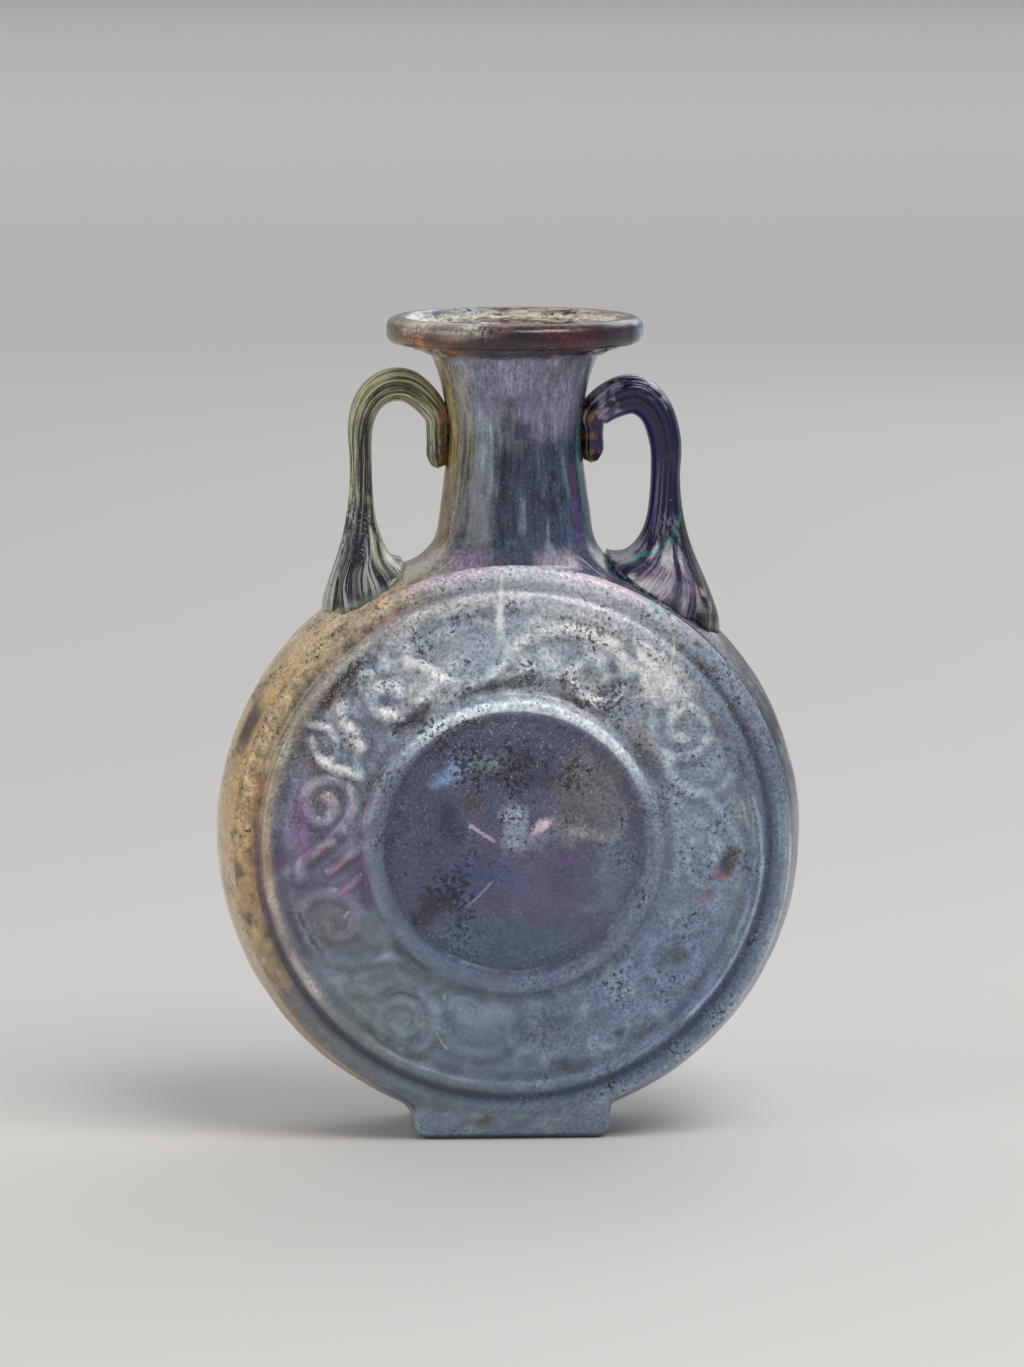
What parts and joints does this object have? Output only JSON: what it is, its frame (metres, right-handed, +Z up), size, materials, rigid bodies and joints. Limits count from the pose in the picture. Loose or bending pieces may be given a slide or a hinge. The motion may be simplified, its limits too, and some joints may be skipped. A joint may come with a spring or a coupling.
{
  "type": "glass pilgrim flask",
  "caption": "Flat round glass flask on a small oblong foot, with a flared neck, rolled rim, vine scroll round a plain medallion and handles of other glass on both sides.",
  "frame": {"origin": "on the table under the middle of the flask's bounding box", "axes": "+Z up through the mouth, +X to the right handle, -Y toward the decorated front"},
  "size_m": [0.1222, 0.0538, 0.17],
  "materials": {
    "body_glass": "weathered, slate blue, half clear",
    "handle_glass_yellow_green": "streaked, yellow green, half clear",
    "handle_glass_cobalt": "deep cobalt with a silvery bloom"
  },
  "bodies": {
    "root": {"flask_body": "body_glass", "left_handle": "handle_glass_yellow_green", "right_handle": "handle_glass_cobalt"}
  },
  "joints": []
}
